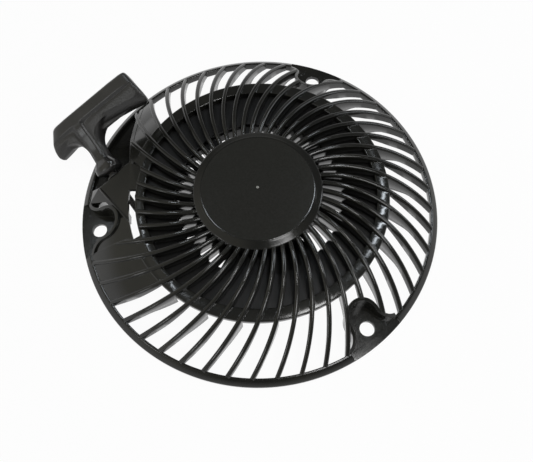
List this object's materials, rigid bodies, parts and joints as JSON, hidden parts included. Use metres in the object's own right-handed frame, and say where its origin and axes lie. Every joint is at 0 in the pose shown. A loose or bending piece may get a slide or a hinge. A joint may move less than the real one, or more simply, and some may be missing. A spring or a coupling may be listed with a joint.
{
  "type": "recoil starter",
  "caption": "Round recoil starter with a domed grille of swept cooling vanes, bolt ears on its rim, a spring-rewound rope pulley with driving pawls, and a T-handle resting in a side bay.",
  "frame": {"origin": "centre of the mounting flange, on the plane of the bolt ears' pads", "axes": "+Z away from the engine along the pulley's axis, +Y towards the handle's side, +X to its right"},
  "size_m": [0.2275, 0.216, 0.0513],
  "materials": {
    "housing_plastic": "glossy black moulded plastic",
    "grip_plastic": "black, finely grained",
    "nylon": "satin black",
    "rope": "braided black cord",
    "spring_steel": "blued spring steel",
    "zinc_steel": "zinc plated"
  },
  "bodies": {
    "housing": {"starter_housing": "housing_plastic", "rope_eyelet": "zinc_steel", "spring_retainer": "zinc_steel", "rewind_spring": "spring_steel", "rope_run": "rope", "thrust_washer": "zinc_steel", "centre_screw": "zinc_steel"},
    "pulley": {"rope_pulley": "nylon", "rope_winding": "rope", "rope_anchor_knot": "rope", "pawl_spring_a": "spring_steel", "pawl_spring_b": "spring_steel"},
    "handle": {"handle_grip": "grip_plastic", "handle_insert": "zinc_steel", "handle_cap": "grip_plastic", "handle_knot": "rope", "rope_lead": "rope"},
    "guide": {"pawl_guide": "nylon", "friction_spring": "spring_steel"},
    "pawl_a": {"pawl_a": "zinc_steel"},
    "pawl_b": {"pawl_b": "zinc_steel"}
  },
  "joints": [
    {"name": "pulley_spin", "type": "hinge", "parent": "housing", "child": "pulley", "pos_m": [0, 0, 0.012], "axis": [0, 0, -1], "range_deg": [0, 1440], "stiffness_Nm_per_rad": 0.03, "springref_deg": -687.55, "deforming": ["rewind_spring", "rope_winding"]},
    {"name": "handle_pull", "type": "slide", "parent": "housing", "child": "handle", "axis": [-0.3676, 0.8918, 0.2639], "range_m": [0, 1.45], "deforming": ["rope_lead"]},
    {"name": "guide_turn", "type": "hinge", "parent": "pulley", "child": "guide", "pos_m": [0, 0, 0.005], "axis": [0, 0, 1], "range_deg": [0, 35], "stiffness_Nm_per_rad": 0.02, "springref_deg": -9.74},
    {"name": "pawl_a_swing", "type": "hinge", "parent": "pulley", "child": "pawl_a", "pos_m": [0.01221, 0.01455, 0.008], "axis": [0, 0, 1], "range_deg": [0, 28], "deforming": ["pawl_spring_a"]},
    {"name": "pawl_b_swing", "type": "hinge", "parent": "pulley", "child": "pawl_b", "pos_m": [-0.01221, -0.01455, 0.008], "axis": [0, 0, 1], "range_deg": [0, 28], "deforming": ["pawl_spring_b"]}
  ],
  "couplings": [
    {"joint": "handle_pull", "follows": "pulley_spin", "m_per_rad": 0.057},
    {"joint": "pawl_a_swing", "follows": "guide_turn", "ratio": 0.8},
    {"joint": "pawl_b_swing", "follows": "guide_turn", "ratio": 0.8}
  ]
}
